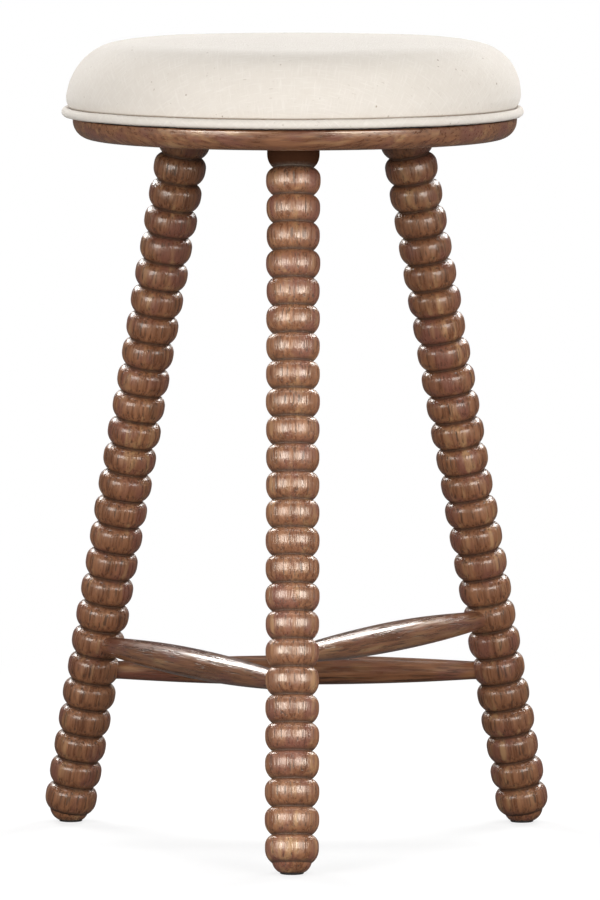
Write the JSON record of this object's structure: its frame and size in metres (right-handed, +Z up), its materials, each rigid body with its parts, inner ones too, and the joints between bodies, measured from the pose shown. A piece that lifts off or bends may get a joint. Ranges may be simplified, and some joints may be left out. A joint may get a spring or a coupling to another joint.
{
  "type": "counter stool",
  "caption": "Backless counter stool: a round padded seat with a welt on a wooden base, splayed bobbin-turned legs and turned stretchers at staggered heights.",
  "frame": {"origin": "on the floor, under the axis of the round seat", "axes": "+Z up along the seat's axis; the front leg stands towards -Y; +X to the sitter's right as seen from the front"},
  "size_m": [0.4184, 0.427, 0.66],
  "materials": {
    "frame_wood": "walnut-brown stain with open grain under satin lacquer",
    "plywood": "raw plywood",
    "cover_cloth": "natural woven cotton with dark flecks",
    "cotton_cord": "twisted cotton",
    "foam": "open-cell foam",
    "batting": "fleecy wadding",
    "dust_cloth": "thin black non-woven cloth",
    "glide_plastic": "moulded, dark brown-black",
    "steel_fasteners": "zinc-plated"
  },
  "bodies": {
    "root": {"leg_front": "frame_wood", "leg_right": "frame_wood", "leg_left": "frame_wood", "stretcher_right": "frame_wood", "stretcher_back": "frame_wood", "stretcher_left": "frame_wood", "seat_base": "frame_wood", "tenon_wedge_front": "frame_wood", "tenon_wedge_right": "frame_wood", "tenon_wedge_left": "frame_wood", "glide_front": "glide_plastic", "glide_right": "glide_plastic", "glide_left": "glide_plastic", "glide_nails": "steel_fasteners", "seat_screws": "steel_fasteners", "cover_staples": "steel_fasteners", "dust_cover": "dust_cloth", "seat_board": "plywood", "welt_sleeve": "cover_cloth", "seat_cover": "cover_cloth", "welt_cord": "cotton_cord", "foam_pad": "foam", "batting_wrap": "batting"}
  },
  "joints": []
}
